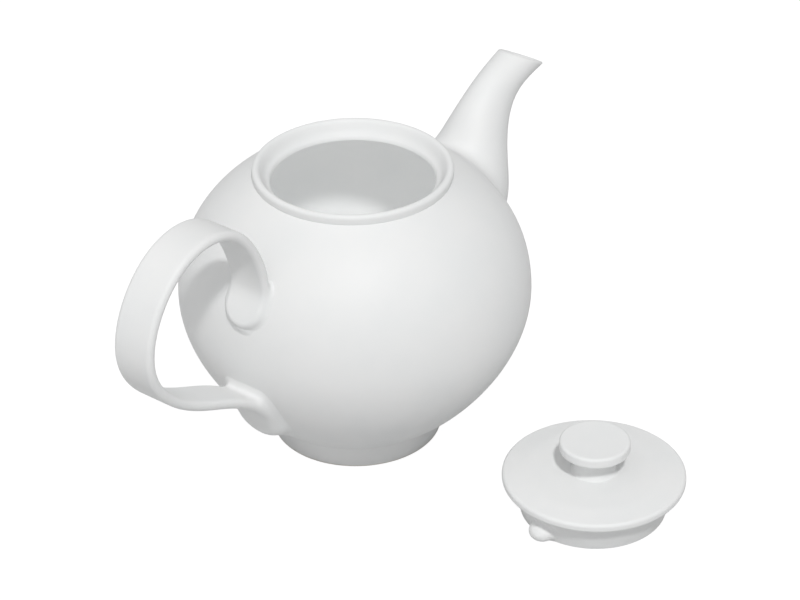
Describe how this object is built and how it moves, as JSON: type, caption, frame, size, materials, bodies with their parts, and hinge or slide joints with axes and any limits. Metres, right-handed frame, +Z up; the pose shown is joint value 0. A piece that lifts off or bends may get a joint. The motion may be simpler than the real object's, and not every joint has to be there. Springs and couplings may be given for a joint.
{
  "type": "teapot",
  "caption": "Round white porcelain teapot with a tapered spout, a looped strap handle and a loose disc-knobbed lid that lies beside it.",
  "frame": {"origin": "centre of the foot ring's resting plane, on the pot's axis", "axes": "+Z up along the pot's axis, +X towards the spout, -X towards the handle; the lid lies on the -Y side on the same plane"},
  "size_m": [0.2795, 0.2447, 0.1503],
  "materials": {
    "pot_glaze": "satin white glaze",
    "spout_glaze": "satin white glaze",
    "handle_glaze": "satin white glaze",
    "lid_glaze": "satin white glaze",
    "knob_glaze": "satin white glaze",
    "lug_glaze": "satin white glaze"
  },
  "bodies": {
    "pot": {"pot_body": "pot_glaze", "spout": "spout_glaze", "handle": "handle_glaze"},
    "lid": {"lid": "lid_glaze", "lid_knob": "knob_glaze", "lid_lug": "lug_glaze"}
  },
  "joints": [
    {"name": "lid_lift", "type": "slide", "parent": "pot", "child": "lid", "axis": [0, 0, 1], "range_m": [0, 0.17]}
  ]
}
